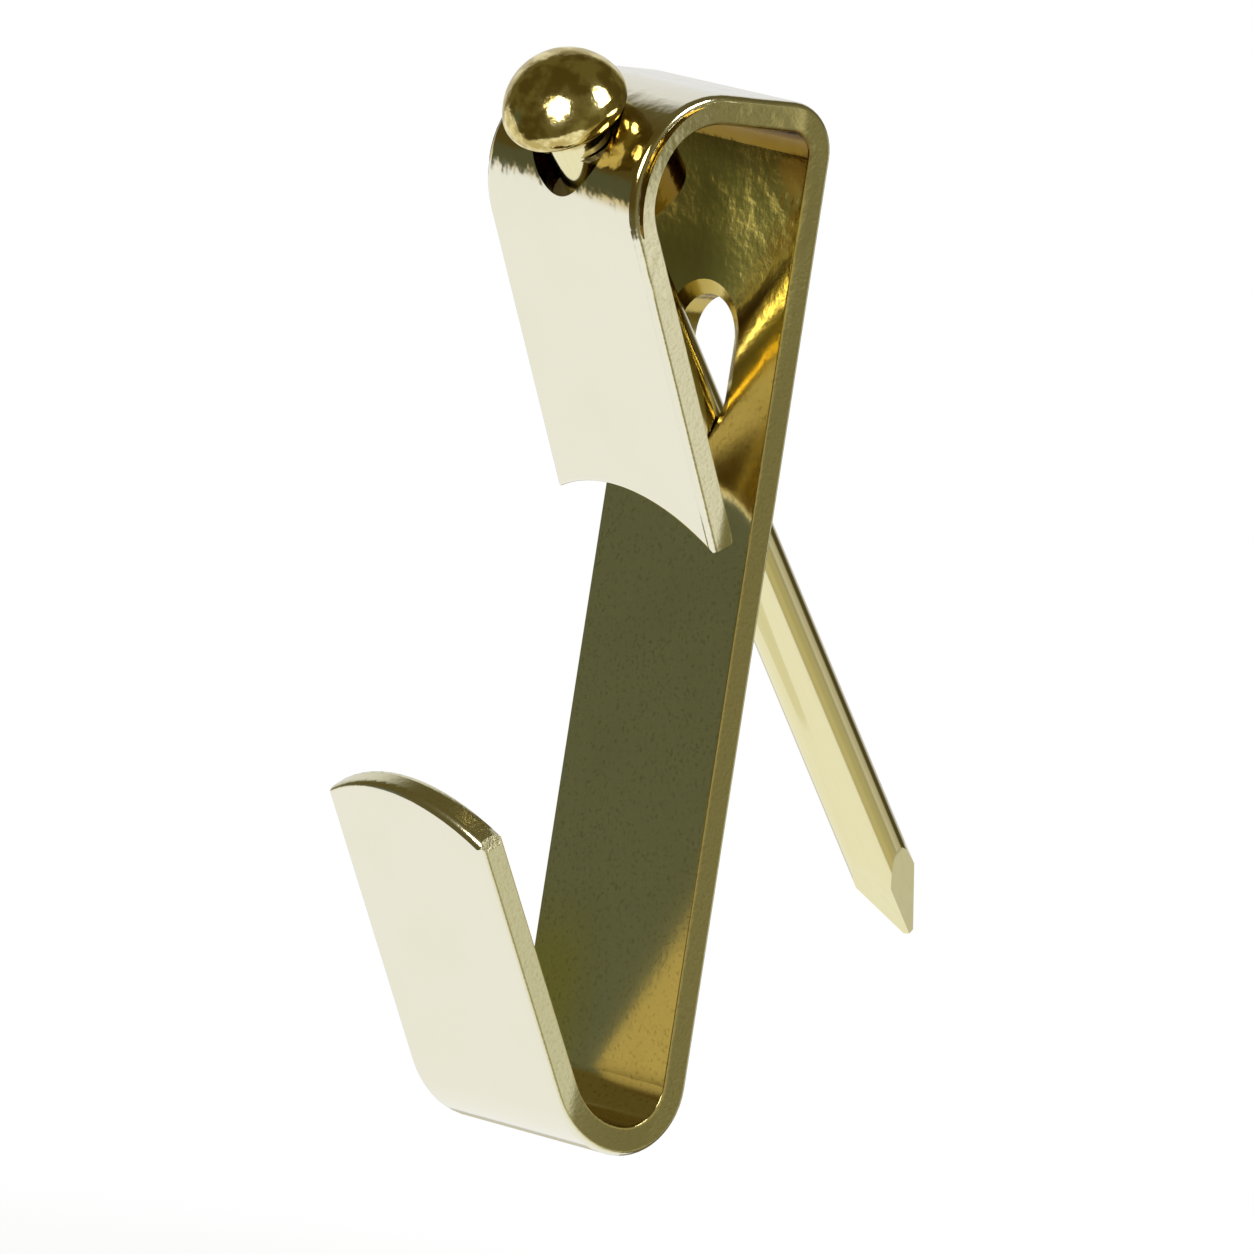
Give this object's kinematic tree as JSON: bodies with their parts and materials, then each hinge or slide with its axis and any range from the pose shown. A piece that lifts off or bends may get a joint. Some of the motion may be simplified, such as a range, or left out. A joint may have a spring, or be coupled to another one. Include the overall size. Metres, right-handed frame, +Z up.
{
  "type": "picture hook",
  "caption": "Brass-plated picture hook: a folded metal strip with an upturned hook and a slanting round-headed nail held in its guide holes.",
  "frame": {"origin": "middle of the flat back face that lies against the wall", "axes": "+Z up as hung, +Y into the wall, +X along the width of the strip"},
  "size_m": [0.008, 0.0228, 0.0353],
  "materials": {
    "strip_brass": "bright polished plating",
    "nail_brass": "bright plating"
  },
  "bodies": {
    "hook": {"hook_strip": "strip_brass"},
    "nail": {"nail": "nail_brass"}
  },
  "joints": [
    {"name": "nail_slide", "type": "slide", "parent": "hook", "child": "nail", "axis": [0, -0.6129, 0.7902], "range_m": [0, 0.02]}
  ]
}
